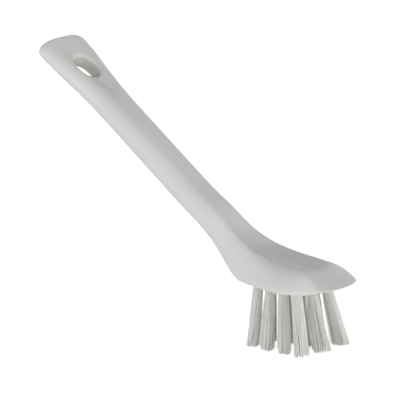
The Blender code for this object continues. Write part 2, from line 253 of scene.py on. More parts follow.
def head_ring(top_back, rim_back, risen, half_rim, half_ridge, ridge_height):
    bulge = FRONT_TOP_BULGE * risen
    inner_top_height = ridge_height - DISH_DEPTH * INNER_TOP_DEPTH
    sole_back = rim_back + LIP_SLOPE * risen
    middle_back = sole_back - front_edge_at(half_rim) * risen
    sole = (EDGE_HEIGHT - EDGE_THICKNESS) * risen
    ridge = at(top_back, half_ridge, ridge_height)
    rim = at(rim_back, half_rim, EDGE_HEIGHT)
    swell = lerp(SIDE_SWELL, SIDE_SWELL_FRONT, risen) * MM
    outwards_and_up = Vector((0, swell, swell)) * math.sqrt(0.5)
    half = [
        at(top_back - bulge, 0, ridge_height - DISH_DEPTH),
        at(top_back - bulge * INNER_TOP_BULGE, half_ridge * INNER_TOP_ACROSS, inner_top_height),
        ridge,
        ridge.lerp(rim, 0.5) + outwards_and_up,
        rim,
        at(sole_back, half_rim - LIP_SLOPE, sole),
        at(lerp(middle_back, sole_back, INNER_SOLE_BACK), (half_rim - LIP_SLOPE) / 2, sole),
        at(middle_back, 0, sole),
    ]
    return whole_ring(half)


head_rings = [head_ring(*section) for section in HEAD_SECTIONS]
print("head rings:", len(head_rings), "with", len(head_rings[0]), "corners each")

# %% [markdown]
# The straight handle leans back by almost 36 degrees. Its sections are easiest to draw across their own axis, so a
# second helper turns a distance up the handle and a height above its axis into a place. The same helper later puts
# the hanging hole in the paddle.

# %% Sizes of the handle
HANDLE_START_BACK = 113.8
HANDLE_START_RISE = 41.3
HANDLE_LEAN = math.radians(35.8)
GRIP_WIDTH, PADDLE_WIDTH = 26.2, 39.8
GRIP_THICKNESS, PADDLE_THICKNESS = 15.6, 12.0
HOLE_PLACE = 122.5

# The place along the handle, how far width and thickness have gone from the grip's to the paddle's, and how far the
# middle of the top has sunk between its rounded sides.
HANDLE_SECTIONS = (
    (3.0, 0.00, 0.00, 0.0),
    (24.0, 0.00, 0.03, 0.0),
    (56.0, 0.02, 0.14, 0.0),
    (84.0, 0.05, 0.29, 0.2),
    (94.0, 0.12, 0.40, 0.4),
    (100.0, 0.20, 0.48, 0.7),
    (106.5, 0.31, 0.57, 1.1),
    (114.5, 0.47, 0.70, 1.5),
    (HOLE_PLACE, 0.66, 0.83, 1.5),
    (131.0, 0.87, 0.94, 1.3),
    (141.5, 1.00, 1.00, 0.6),
    (146.2, 0.98, 1.02, 0.3),
    (148.8, 0.76, 1.06, 0.0),
    (149.7, 0.15, 1.20, 0.0),
)
# Half of a section, from the middle of its top round to the middle of its underside, in half widths and half
# thicknesses.
HANDLE_OUTLINE = (
    (0.00, 1.00),
    (0.30, 1.00),
    (0.60, 0.93),
    (0.97, 0.45),
    (1.00, -0.25),
    (0.80, -0.92),
    (0.40, -1.00),
    (0.00, -1.00),
)
print(len(HANDLE_SECTIONS), "handle sections")


# %% Draw the handle sections
def on_handle(along, across, above):
    """A point this far up the straight handle, to the left of the middle, and above the handle's axis."""
    back = HANDLE_START_BACK + along * math.cos(HANDLE_LEAN) - above * math.sin(HANDLE_LEAN)
    rise = HANDLE_START_RISE + along * math.sin(HANDLE_LEAN) + above * math.cos(HANDLE_LEAN)
    return at(back, across, rise)


def handle_half(along, widened, thinned, sunk):
    """Half of a handle section. Only the corners between the two ridges sink."""
    half_width = lerp(GRIP_WIDTH, PADDLE_WIDTH, widened) / 2
    half_thickness = lerp(GRIP_THICKNESS, PADDLE_THICKNESS, thinned) / 2
    half = []
    for corner, (side, level) in enumerate(HANDLE_OUTLINE):
        lowered = sunk if corner < RIDGE else 0
        half.append(on_handle(along, side * half_width, level * half_thickness - lowered))
    return half


handle_rings = [whole_ring(handle_half(*section)) for section in HANDLE_SECTIONS]
print("handle rings:", len(handle_rings), "with", len(handle_rings[0]), "corners each")

# %% [markdown]
# The neck lies between the last section of the head and the first of the handle. Its top bends up earlier than its
# underside, which stays level for a while and makes the heel, and its sides draw in earlier than its ridges. So each
# neck section mixes the two ends, with a share of its own for each of these.

# %% Neck sections
# Between sole and handle, as shares of the way: the top's place and height, the underside's place and height, and
# how far the side and the ridge have narrowed.
NECK_SECTIONS = (
    (0.17, 0.135, 0.125, 0.000, 0.30, 0.22),
    (0.33, 0.265, 0.285, 0.055, 0.62, 0.50),
    (0.53, 0.510, 0.475, 0.370, 0.92, 0.80),
    (0.77, 0.800, 0.680, 0.690, 1.00, 0.95),
)
# How far a corner follows the underside instead of the top.
FOLLOWS_UNDERSIDE = {SIDE: 0.5, RIM: 0.85}


def neck_ring(top_place, top_rise, sole_place, sole_rise, narrowed, ridge_narrowed):
    half = []
    for corner in range(len(HALF_CORNERS)):
        head, handle = head_rings[-1][corner], handle_start[corner]
        down = FOLLOWS_UNDERSIDE.get(corner, float(corner > RIM))
        x = lerp(head.x, handle.x, lerp(top_place, sole_place, down))
        y = lerp(head.y, handle.y, ridge_narrowed if corner <= RIDGE else narrowed)
        z = lerp(head.z, handle.z, lerp(top_rise, sole_rise, down))
        half.append(Vector((x, y, z)))
    return whole_ring(half)


handle_start = handle_half(0, 0, 0, 0)
neck_rings = [neck_ring(*section) for section in NECK_SECTIONS]
block_rings = head_rings + neck_rings + handle_rings
print(len(block_rings), "sections in all")

# %% [markdown]
# A circle with fourteen corners becomes the first ring, round the crease behind the front facet. It is then extruded
# once for each further section. After each extrusion only the new ring is picked, so its corners can be slid
# straight to the next section. Each new corner is matched to the old one that an edge joins it to, because the
# operator gives them no order. The crease layer is made first, since a new layer makes the mesh forget its corners.

# %% Extrude the block from section to section
START_RADIUS = 10 * MM
select_nothing()
bpy.ops.mesh.primitive_circle_add(vertices=RING_CORNERS, radius=START_RADIUS, location=(0, 0, 0))
block = bpy.context.object
block.name = "moulded_block"
mesh = start_editing(block)
mesh.edges.layers.float.new("crease_edge")
bpy.ops.mesh.select_all(action="SELECT")
ring = list(mesh.verts)
for corner, place in zip(ring, block_rings[0]):
    corner.co = place
rings = [ring]
for section in block_rings[1:]:
    bpy.ops.mesh.extrude_edges_indiv()
    old = {corner: index for index, corner in enumerate(rings[-1])}
    new = [None] * RING_CORNERS
    for corner in mesh.verts:
        if corner.select:
            behind = next(edge.other_vert(corner) for edge in corner.link_edges if edge.other_vert(corner) in old)
            new[old[behind]] = corner
    for corner, place in zip(new, section):
        corner.co = place
    rings.append(new)
print("block cage:", len(mesh.verts), "corners,", len(mesh.faces), "faces")

# %% [markdown]
# Two openings are left: the front facet and the end of the paddle. The facet is a slanted trapezium whose lower side
# is the thin scraping edge. Rows of corners across it keep all faces four-sided, so the skin stays even.

# %% Close the front facet
TOP_ROW = (-RIDGE, -INNER_TOP, MIDDLE_TOP, INNER_TOP, RIDGE)
SOLE_ROW = (-SOLE_EDGE, -INNER_SOLE, MIDDLE_SOLE, INNER_SOLE, SOLE_EDGE)
COLUMNS = len(TOP_ROW) - 1
first, last = rings[0], rings[-1]
facet_top = [first[index] for index in TOP_ROW]
facet_sole = [first[index] for index in SOLE_ROW]
facet_edge, facet_middle = [first[-RIM]], [first[-SIDE]]
for column in range(1, COLUMNS):
    across = HALF_FRONT * (2 * column / COLUMNS - 1)
    edge_place = at(front_edge_at(across), across, EDGE_HEIGHT)
    facet_edge.append(mesh.verts.new(edge_place))
    facet_middle.append(mesh.verts.new(facet_top[column].co.lerp(edge_place, 0.5)))
facet_edge.append(first[RIM])
facet_middle.append(first[SIDE])
for upper, lower in ((facet_top, facet_middle), (facet_middle, facet_edge), (facet_edge, facet_sole)):
    for column in range(COLUMNS):
        mesh.faces.new((upper[column], upper[column + 1], lower[column + 1], lower[column]))
print("rows of faces from the facet's top to the sole: 3, with", COLUMNS, "faces each")

# %% Close the paddle's end
end_top = [last[index] for index in TOP_ROW]
end_sole = [last[index] for index in SOLE_ROW]
for column in range(COLUMNS):
    mesh.faces.new((end_top[column], end_sole[column], end_sole[column + 1], end_top[column + 1]))
for sign in (1, -1):
    mesh.faces.new([last[sign * index] for index in (RIDGE, SIDE, RIM, SOLE_EDGE)])
open_edges = [edge for edge in mesh.edges if edge.is_boundary]
print("open edges left:", len(open_edges))

# %% [markdown]
# The hanging hole is part of the same skin. On both faces of the paddle the corner in the middle of the hole is
# deleted with its four faces, and the eight corners round each opening are slid to an oval. The upper opening is
# then extruded down through the paddle in three narrower loops and bridged to the lower one. The narrow loops give
# the flared mouths of a moulded hole without any cut edge.
#
# Smoothing draws a loop of eight corners in, so the ovals are drawn slightly too large.

# %% Places round the hanging hole
HOLE_LENGTH, HOLE_WIDTH = 20.0, 13.6
MOUTH_CORNERS = 8
SMOOTHING_SPREAD = 1.05


def handle_row(along):
    """The number of the ring that was drawn at this place along the handle."""
    places = [section[0] for section in HANDLE_SECTIONS]
    return len(head_rings) + len(neck_rings) + places.index(along)


hole_row = handle_row(HOLE_PLACE)
up_from_handle = (on_handle(0, 0, 1) - on_handle(0, 0, 0)).normalized()
up_the_handle = (on_handle(1, 0, 0) - on_handle(0, 0, 0)).normalized()


def mouth_corners(middle, inner):
    """The eight corners round the opening on one face, from the head's end round by the left."""
    before, beside, behind = rings[hole_row - 1], rings[hole_row], rings[hole_row + 1]
    left = [before[middle], before[inner], beside[inner], behind[inner]]
    return left + [behind[middle], behind[-inner], beside[-inner], before[-inner]]


def oval_place(step, wider, above):
    """The place of one of the eight corners of an oval that is this much wider than the hole, all round."""
    angle = 2 * math.pi * step / MOUTH_CORNERS
    along = HOLE_PLACE - math.cos(angle) * (HOLE_LENGTH / 2 + wider) * SMOOTHING_SPREAD
    return on_handle(along, math.sin(angle) * (HOLE_WIDTH / 2 + wider) * SMOOTHING_SPREAD, above)


print("the hole's middle is on ring", hole_row)

# %% Open the hanging hole
FLARE_TOP = 1.0
FLARE_UNDER = 1.8
# How much wider than the hole each loop inside it is, and how far above the handle's axis it lies.
THROAT_LOOPS = ((0.35, 2.7), (0.0, -0.2), (0.1, -3.4))


def open_mouth(middle, inner, wider):
    """Deletes the corner in the middle of the mouth, and slides those round it to an oval at their own height."""
    mouth = mouth_corners(middle, inner)
    pick(mesh, [rings[hole_row][middle]])
    bpy.ops.mesh.delete(type="VERT")
    for step, corner in enumerate(mouth):
        above = (corner.co - on_handle(HOLE_PLACE, 0, 0)).dot(up_from_handle) / MM
        corner.co = oval_place(step, wider, above)
    return mouth


def loop_edges(loop):
    return [mesh.edges.get((corner, loop[step - 1])) for step, corner in enumerate(loop)]


def extrude_loop(loop, wider, above):
    """Extrudes a mouth's loop once more and slides it to an oval of its own width and height."""
    pick(mesh, loop_edges(loop))
    bpy.ops.mesh.extrude_edges_indiv()
    made = []
    for step, corner in enumerate(loop):
        new = next(edge.other_vert(corner) for edge in corner.link_edges if edge.other_vert(corner).select)
        new.co = oval_place(step, wider, above)
        made.append(new)
    return made


loop = open_mouth(MIDDLE_TOP, INNER_TOP, FLARE_TOP)
under = open_mouth(MIDDLE_SOLE, INNER_SOLE, FLARE_UNDER)
for wider, above in THROAT_LOOPS:
    loop = extrude_loop(loop, wider, above)
pick(mesh, loop_edges(loop) + loop_edges(under))
bpy.ops.mesh.bridge_edge_loops()
print("open edges left:", len([edge for edge in mesh.edges if edge.is_boundary]))

# %% [markdown]
# In front of the hole, the moulding has a small groove that runs out to a point towards the head. Two corners on the
# middle line sink, and the neighbours of these and of the third, where the groove ends, close in.

# %% Sink the pointed groove
# The place along the handle, the depth, and what is left of the neighbours' distance from the middle.
GROOVE = ((106.5, 2.0, 0.70), (100.0, 1.3, 0.40), (94.0, 0.0, 0.60))
groove_line = [mouth_corners(MIDDLE_TOP, INNER_TOP)[0]]
for place, depth, closing in GROOVE:
    row = rings[handle_row(place)]
    row[MIDDLE_TOP].co -= up_from_handle * depth * MM
    groove_line.append(row[MIDDLE_TOP])
    for corner in (row[INNER_TOP], row[-INNER_TOP]):
        corner.co.y *= closing
print("groove depth, mm:", GROOVE[0][1])

# %% [markdown]
# A moulding has no knife-sharp edges, but not all of its edges are equally round. A crease weight sets how long an
# edge resists the smoothing. The scraping edge, the sole and the lower sides of the facet resist longest and stay
# crisp. The rim, the facet's upper sides and the edges of the neck are softer, and the long ridges round off almost
# freely.

# %% How sharp each edge stays
CREASES = {
    "sole": 0.60,
    "scraping_edge": 0.64,
    "rim": 0.40,
    "facet_side_low": 0.60,
    "facet_side_high": 0.46,
    "facet_top": 0.24,
    "ridge": 0.08,
    "neck_edge": 0.42,
    "heel": 0.26,
    "groove": 0.30,
    "mouth": 0.25,
}
head_count = len(head_rings)


def run_of(*corners):
    """The edges that join these corners one after the other."""
    return [mesh.edges.get(pair) for pair in zip(corners, corners[1:])]


lines = {
    "sole": run_of(*facet_sole),
    "scraping_edge": run_of(*facet_edge),
    "rim": [],
    "facet_side_low": [],
    "facet_side_high": [],
    "facet_top": run_of(*facet_top),
    "ridge": [],
    "neck_edge": [],
    "heel": run_of(*rings[head_count][SOLE_EDGE : RING_CORNERS - SOLE_EDGE + 1]),
    "groove": run_of(*groove_line),
    "mouth": loop_edges(mouth_corners(MIDDLE_SOLE, INNER_SOLE)),
}
for sign in (1, -1):
    lines["sole"] += run_of(*[ring[sign * SOLE_EDGE] for ring in rings[:head_count]])
    lines["neck_edge"] += run_of(*[ring[sign * SOLE_EDGE] for ring in rings[head_count - 1 : head_count + 2]])
    lines["rim"] += run_of(*[ring[sign * RIM] for ring in rings[:head_count]])
    lines["ridge"] += run_of(*[ring[sign * RIDGE] for ring in rings[: head_count + 1]])
    lines["facet_side_low"] += run_of(first[sign * SIDE], first[sign * RIM])
    lines["facet_side_high"] += run_of(first[sign * RIDGE], first[sign * SIDE])
for name, edges in lines.items():
    pick(mesh, edges)
    bpy.ops.transform.edge_crease(value=CREASES[name])
print("creased edges:", {name: len(edges) for name, edges in lines.items()})

# %% [markdown]
# With its creases set, the cage is smoothed in four steps. Each step makes four faces of one.

# %% Smooth the block
SMOOTHING_STEPS = 4
bpy.ops.mesh.select_all(action="SELECT")
bpy.ops.mesh.normals_make_consistent(inside=False)
stop_editing(block)
apply_modifier(block, "SUBSURF", levels=SMOOTHING_STEPS, render_levels=SMOOTHING_STEPS)
report(block)

# %% [markdown]
# ## Tuft holes
#
# The filaments are folded into blind holes in the sole, and a flat wire anchor holds each fold. There are four rows
# of three. The two outer tufts of a row stand closer together in the rear half, where the head narrows.

# %% Tuft places
ROW_COUNT = 4
FIRST_ROW, ROW_PITCH = 25.3, 11.2
TUFT_SPREAD, REAR_DRAW_IN = 13.0, 2.0
SIDES = (("left", 1), ("middle", 0), ("right", -1))


def tuft_places():
    """The name of each tuft, how far back and how far across it sits, its row's share of the way back, its side."""
    places = []
    for row in range(ROW_COUNT):
        share = row / (ROW_COUNT - 1)
        spread = TUFT_SPREAD - REAR_DRAW_IN * max(0, 2 * share - 1)
        for side_name, side in SIDES:
            places.append((f"row{row + 1}_{side_name}", FIRST_ROW + row * ROW_PITCH, side * spread, share, side))
    return places


print(len(tuft_places()), "tufts")

# %% [markdown]
# One drill with a small chamfer at its mouth and one slot for the anchor are modelled. Each is copied to the twelve
# places and cut from the sole with a Boolean. The sole is flat there, so the cut leaves no ripples in the shading.


# %% Cut a tool at every tuft
def cut_at_each_tuft(tool, above):
    """Copies the tool to every tuft place at this height, joins the copies and cuts them from the block."""
    copies = []
    for _, back, across, _, _ in tuft_places():
        copy = tool.copy()
        copy.data = tool.data.copy()
        copy.location = at(back, across, above)
        bpy.context.collection.objects.link(copy)
        copies.append(copy)
    bpy.data.objects.remove(tool)
    select_only(*copies)
    bpy.ops.object.join()
    apply_modifier(block, "BOOLEAN", operation="DIFFERENCE", solver="EXACT", object=copies[0])
    bpy.data.objects.remove(copies[0])


print("a cutter is copied", len(tuft_places()), "times")

# %% [markdown]
# The drill is a cylinder as long as the hole is deep. Its mouth face is lifted by the height of the chamfer, then
# extruded and widened twice: the first time for the chamfer, the second to reach past the sole.

# %% Drill the tuft holes
HOLE_RADIUS, HOLE_DEPTH, HOLE_CHAMFER = 3.4, 9.5, 0.35
DRILL_CORNERS = 32
select_nothing()
bpy.ops.mesh.primitive_cylinder_add(vertices=DRILL_CORNERS, radius=HOLE_RADIUS * MM, depth=HOLE_DEPTH * MM)
drill = bpy.context.object
mesh = start_editing(drill)
mouth_face = min(mesh.faces, key=lambda face: face.calc_center_median().z)
pick(mesh, [mouth_face])
bpy.ops.transform.translate(value=(0, 0, HOLE_CHAMFER * MM))
widening = 1 + HOLE_CHAMFER / HOLE_RADIUS
for _ in range(2):
    bpy.ops.mesh.extrude_region_move(TRANSFORM_OT_translate={"value": (0, 0, -HOLE_CHAMFER * MM)})
    bpy.ops.transform.resize(value=(widening, widening, 1))
stop_editing(drill)
cut_at_each_tuft(drill, HOLE_DEPTH / 2)
report(block)

# %% Cut the anchor slots
# Along the brush, across it, and upwards.
ANCHOR_SLOT = (1.0, 7.8, 2.6)
select_nothing()
bpy.ops.mesh.primitive_cube_add(size=1, scale=[side * MM for side in ANCHOR_SLOT])
cut_at_each_tuft(bpy.context.object, HOLE_DEPTH - ANCHOR_SLOT[2] / 2)
settle(block)
report(block)

# %% [markdown]
# The wall of the hanging hole gets painted shade: a darker, warmer colour that stands in for the shade in the hole,
# where the pale plastic warms the little light that gets in. A value from 0 to 1 is kept with every corner of the
# block, and the material reads it as an attribute. It is 1 on the hole's wall and fades to 0 away from the hole, and
# towards the faces of the paddle.


# %% Mark the painted shade on the walls of the hanging hole
def clamp(value):
    return min(max(value, 0.0), 1.0)


# Millimetres that are added to the hole's half sizes for the oval where the painted shade is full.
PAINTED_SHADE_MARGIN = 1
# Where the value has fallen to 0, in shares of that oval, and the width of the fade.
PAINTED_SHADE_END, PAINTED_SHADE_FADE = 1.6, 0.6
# The same above and below the handle's axis, in millimetres.
PAINTED_SHADE_TOP, PAINTED_SHADE_TOP_FADE = 5.8, 3.6
# The painted shade of the hole's wall, one value for each corner of the block.
painted_hole_shade = []
for corner in block.data.vertices:
    place = corner.co - on_handle(HOLE_PLACE, 0, 0)
    along, above = place.dot(up_the_handle) / MM, place.dot(up_from_handle) / MM
    length_share = along / (HOLE_LENGTH / 2 + PAINTED_SHADE_MARGIN)
    width_share = corner.co.y / MM / (HOLE_WIDTH / 2 + PAINTED_SHADE_MARGIN)
    inside = clamp((PAINTED_SHADE_END - math.hypot(length_share, width_share)) / PAINTED_SHADE_FADE)
    painted_hole_shade.append(inside * clamp((PAINTED_SHADE_TOP - abs(above)) / PAINTED_SHADE_TOP_FADE))
block.data.attributes.new("painted_hole_shade", "FLOAT", "POINT").data.foreach_set("value", painted_hole_shade)
print("corners marked:", sum(value > 0 for value in painted_hole_shade), "of", len(painted_hole_shade))

# %% Shade the block
# Only edges sharper than this stay visible, which are those of the drilled holes.
SHARP_ANGLE = math.radians(38)
block.data.shade_smooth()
bpy.ops.object.shade_smooth_by_angle(angle=SHARP_ANGLE)
report(block)

# %% [markdown]
# ## Filaments
#
# A real tuft is a bundle of more than a hundred stiff filaments, here 0.42 mm thick. One filament is modelled: a thin
# six-sided rod, cut into lengths so that it can bend, with a slightly rounded trimmed end. It stands for the whole
# length from the fold to the tip, whatever that is, so it is one metre long here and is scaled when it is copied.

# %% Model one filament
FILAMENT_RADIUS = 0.21
FILAMENT_SIDES = 6
FILAMENT_LENGTHS = 7
TIP_INSET = 0.35
TIP_REACH = 0.003
select_nothing()
bpy.ops.mesh.primitive_cylinder_add(
    vertices=FILAMENT_SIDES, radius=FILAMENT_RADIUS * MM, depth=1, location=(0, 0, 0)
)
filament = bpy.context.object
mesh = start_editing(filament)
long_edges = [edge for edge in mesh.edges if abs(edge.verts[0].co.z - edge.verts[1].co.z) > 0.5]
pick(mesh, long_edges, "EDGE")
bpy.ops.mesh.subdivide(number_cuts=FILAMENT_LENGTHS - 1)
trimmed_end = min(mesh.faces, key=lambda face: face.calc_center_median().z)
pick(mesh, [trimmed_end], "FACE")
bpy.ops.mesh.inset(thickness=FILAMENT_RADIUS * TIP_INSET * MM)
bpy.ops.transform.translate(value=(0, 0, -TIP_REACH))
stop_editing(filament)
master_corners = [(corner.co.x, corner.co.y, 0.5 - corner.co.z) for corner in filament.data.vertices]
master_faces = [tuple(face.vertices) for face in filament.data.polygons]
bpy.data.objects.remove(filament)
print("one filament:", len(master_faces), "faces")

# %% [markdown]
# The filaments stand in the hole like pencils in a cup, on a six-sided grid that is a little wider than a filament is
# thick. Small shifts keep the grid from showing. In a used brush, neighbours lean together in clumps, and a clump's
# tips end at about the same height, so each filament later follows the clump that it stands nearest to.

# %% Places and clumps of the filaments
PACKING = 0.51
PACKING_JITTER = 0.04
WALL_GAP = 0.15
LONGEST_TRIM = 4.0
CLUMP_COUNT = 12
CLUMP_SHIFT, CLUMP_TRIM = 0.42, 2.1
# How much of its shift a clump in the middle of the tuft has.
CLUMP_MIDDLE = 0.4


def packed_places(draw):
    """Places of the filaments in the round hole, on a slightly disturbed hexagonal grid."""
    reach = HOLE_RADIUS - FILAMENT_RADIUS - WALL_GAP
    places = []
    steps = int(reach / PACKING) + 1
    for row in range(-steps, steps + 1):
        for column in range(-steps, steps + 1):
            x = (column + row % 2 / 2) * PACKING + draw.uniform(-PACKING_JITTER, PACKING_JITTER)
            y = row * PACKING * math.sqrt(3) / 2 + draw.uniform(-PACKING_JITTER, PACKING_JITTER)
            if math.hypot(x, y) <= reach:
                places.append((x, y))
    return places


def make_clumps(draw):
    """Groups of filaments that lean and end together: where each starts, its tip's shift, and its lost length."""
    clumps = []
    for _ in range(CLUMP_COUNT):
        angle, share = draw.uniform(0, 2 * math.pi), math.sqrt(draw.random())
        shift = [draw.gauss(0, CLUMP_SHIFT) * (CLUMP_MIDDLE + share) for _ in range(2)]
        shorter = min(LONGEST_TRIM, abs(draw.gauss(0, CLUMP_TRIM))) * share
        place = (math.cos(angle) * share * HOLE_RADIUS, math.sin(angle) * share * HOLE_RADIUS)
        clumps.append((place, shift, shorter))
    return clumps


print(len(packed_places(random.Random(0))), "filaments in a tuft, in", CLUMP_COUNT, "clumps")

# %% [markdown]
# Each filament gets a line to follow. It leaves the hole straight, loosens from its neighbours just below the sole,
# fans out and leans with its tuft, and wanders and sways a little in its own way. A few stray further. The powers say
# where a movement happens: the higher the power, the closer to the tip.

# %% The line of one filament
FREE_LENGTH = 39.6
ROOT_LENGTH = 6.5
LOOSENED, LOOSENED_BY = 0.45, 0.25
FAN_POWER, LEAN_POWER, WANDER_POWER = 1.2, 1.08, 1.6
WANDER = 0.24
STRAY, STRAY_SHARE = 2.8, 0.06
SWAY_LOW, SWAY_HIGH, SWAY_ANGLE = 0.02, 0.07, 5.5
TRIM_SPREAD = 0.5


def bent_filament(draw, place, clump, lean, fan, shorter):
    """A function that gives the filament's middle line, in millimetres from the tuft's root, at each share of it."""
    _, shift, clump_trim = clump
    stray = STRAY if draw.random() < STRAY_SHARE else 1.0
    wander = [moved + draw.gauss(0, WANDER) * stray for moved in shift]
    phase, wave = draw.uniform(0, 2 * math.pi), draw.uniform(SWAY_LOW, SWAY_HIGH)
    radius = HOLE_RADIUS - FILAMENT_RADIUS
    trim = min(LONGEST_TRIM, clump_trim + abs(draw.gauss(0, TRIM_SPREAD)))
    full = ROOT_LENGTH + FREE_LENGTH - shorter - trim

    def line(share):
        down = share * full - ROOT_LENGTH
        free = max(0.0, down / FREE_LENGTH)
        out = (fan * free**FAN_POWER + LOOSENED * min(1.0, free / LOOSENED_BY)) / radius
        sway = wave * math.sin(phase + free * SWAY_ANGLE) * free
        x = place[0] * (1 + out) + lean[0] * free**LEAN_POWER + wander[0] * free**WANDER_POWER + sway
        y = place[1] * (1 + out) + lean[1] * free**LEAN_POWER + wander[1] * free**WANDER_POWER - sway
        return x, y, -down

    return line


print(f"a filament is up to {ROOT_LENGTH + FREE_LENGTH:.1f} mm long, {FREE_LENGTH} mm of it below the sole")

# %% [markdown]
# A tuft is one mesh that holds all its filaments. For each, the corners of the modelled filament are turned by an
# angle of their own and moved to the filament's line, and no corner may end below the floor. Two values are kept with
# every corner for the material: the filament's own tone, and how far along it the corner lies.
#
# The tips lean forward in the front row, backwards in the rear one, and outwards at the sides. Seven tufts, those
# that the photograph shows best, have habits of their own.

# %% Make the tufts
LEAN_FRONT, LEAN_REAR, LEAN_SIDE = 6.8, -2.8, 4.2
FAN_OUT = 1.3
# The length in millimetres that the modelled filament stands for where its rounded tip reaches past its end.
TIP_LENGTH = 40
FIRST_SEED = 11

# Tufts that differ: their fan, how much further forward and left their tips lean, and how much shorter they are.
HABITS = {
    "row1_left": (2.4, 0.2, 0.0, 0.0),
    "row1_middle": (2.7, 0.4, -1.5, 0.0),
    "row1_right": (1.5, -0.8, 0.0, 0.4),
    "row2_left": (1.0, 0.0, -2.0, 0.0),
    "row2_right": (1.2, -1.1, 0.0, 0.2),
    "row3_right": (1.4, -1.9, 0.0, 0.0),
    "row4_right": (1.1, -0.3, 0.0, 0.0),
}


def copy_filament(line, root, turn):
    """The corners of one filament along its line, and how far along it each lies."""
    corners, alongs = [], []
    for x, y, along in master_corners:
        share_along = clamp(along)
        across_x = x * math.cos(turn) - y * math.sin(turn)
        across_y = x * math.sin(turn) + y * math.cos(turn)
        below = (along - share_along) * TIP_LENGTH * MM
        corner = root + Vector(line(share_along)) * MM + Vector((across_x, across_y, -below))
        corner.z = max(corner.z, 0.0)
        corners.append(corner)
        alongs.append(share_along)
    return corners, alongs


def make_tuft(name, back, across, share, side, seed):
    draw = random.Random(seed)
    root = at(back, across, 0)
    fan, forward, leftward, shorter = HABITS.get(name, (FAN_OUT, 0, 0, 0))
    lean = (lerp(LEAN_FRONT, LEAN_REAR, share) + forward, side * LEAN_SIDE + leftward)
    corners, faces, tones, alongs = [], [], [], []
    clumps = make_clumps(draw)
    for place in packed_places(draw):
        clump = min(clumps, key=lambda item: math.dist(item[0], place))
        line = bent_filament(draw, place, clump, lean, fan, shorter)
        tone = draw.random()
        turn = draw.uniform(0, math.pi)
        faces += [tuple(len(corners) + index for index in face) for face in master_faces]
        new_corners, new_alongs = copy_filament(line, root, turn)
        corners += new_corners
        alongs += new_alongs
        tones += [tone] * len(new_corners)
    data = bpy.data.meshes.new("tuft_" + name)
    data.from_pydata(corners, [], faces)
    for attribute, values in (("filament_tone", tones), ("filament_along", alongs)):
        data.attributes.new(attribute, "FLOAT", "POINT").data.foreach_set("value", values)
    tuft = bpy.data.objects.new("filaments_" + name, data)
    bpy.context.collection.objects.link(tuft)
    data.shade_smooth()
    return tuft


bundles = {}
for seed, (name, back, across, share, side) in enumerate(tuft_places(), FIRST_SEED):
    bundles[name] = make_tuft(name, back, across, share, side, seed)
print(len(bundles), "bundles,", sum(len(bundle.data.polygons) for bundle in bundles.values()), "faces")

# %% [markdown]
# A mesh that is built from lists of corners gives no promise about which way its faces point. So each bundle is
# opened once more, and its faces are turned outwards.

# %% Turn the filaments' faces outwards
for bundle in bundles.values():
    mesh = start_editing(bundle)
    bpy.ops.mesh.select_all(action="SELECT")
    bpy.ops.mesh.normals_make_consistent(inside=False)
    stop_editing(bundle)
select_nothing()
report(bundles["row1_right"])

# %% [markdown]
# ## Materials
#
# A finish is a small network of nodes. These helpers start a material and add and join nodes, so that each finish
# below reads as a list of layers.


# %% Helpers for material nodes
def new_material(name, roughness, metallic=0.0):
    """A material and its main shader."""
    material = bpy.data.materials.new(name)
    material.use_nodes = True
    shader = material.node_tree.nodes["Principled BSDF"]
    shader.inputs["Roughness"].default_value = roughness
    shader.inputs["Metallic"].default_value = metallic
    return material, shader


def add_node(owner, kind, links=None, **settings):
    """Adds a node to a material or to the world. Settings set its properties, and links fill its inputs with
    numbers or with other outputs."""
    node = owner.node_tree.nodes.new("ShaderNode" + kind)
    for name, value in settings.items():
        setattr(node, name, value)
    for name, value in (links or {}).items():
        socket = node.inputs[name]
        if isinstance(value, bpy.types.NodeSocket):
            owner.node_tree.links.new(value, socket)
        else:
            socket.default_value = value
    return node


def connect(owner, output, node, name):
    owner.node_tree.links.new(output, node.inputs[name])


print("node helpers ready")

# %% [markdown]
# Every layer starts with a noise pattern. It can be stretched between two values, mix two colours, or stand up as a
# bump. A Mix node keeps separate sockets for numbers, vectors and colours, so its colours are found by their place.

# %% Helpers for layers
MIX_SHARE, MIX_FIRST, MIX_SECOND, MIX_RESULT = 0, 6, 7, 2


def noise(material, coordinates, scale, detail, roughness=0.5):
    links = {"Vector": coordinates, "Scale": scale, "Detail": detail, "Roughness": roughness}
    return add_node(material, "TexNoise", links).outputs["Fac"]


def spread(material, value, low, high, start=0.3, end=0.7):
    """Stretches a pattern, so that it is low at the start value and high at the end value."""
    links = {"Value": value, "From Min": start, "From Max": end, "To Min": low, "To Max": high}
    return add_node(material, "MapRange", links).outputs["Result"]


def blend_colours(material, share, first_colour, second_colour):
    links = {MIX_SHARE: share, MIX_FIRST: first_colour, MIX_SECOND: second_colour}
    return add_node(material, "Mix", links, data_type="RGBA").outputs[MIX_RESULT]


def bump(material, height, strength, distance, under=None):
    """Stands a pattern up by this distance in metres, over another bump where there is one."""
    links = {"Height": height, "Strength": strength, "Distance": distance}
    if under:
        links["Normal"] = under
    return add_node(material, "Bump", links).outputs["Normal"]


print("layer helpers ready")
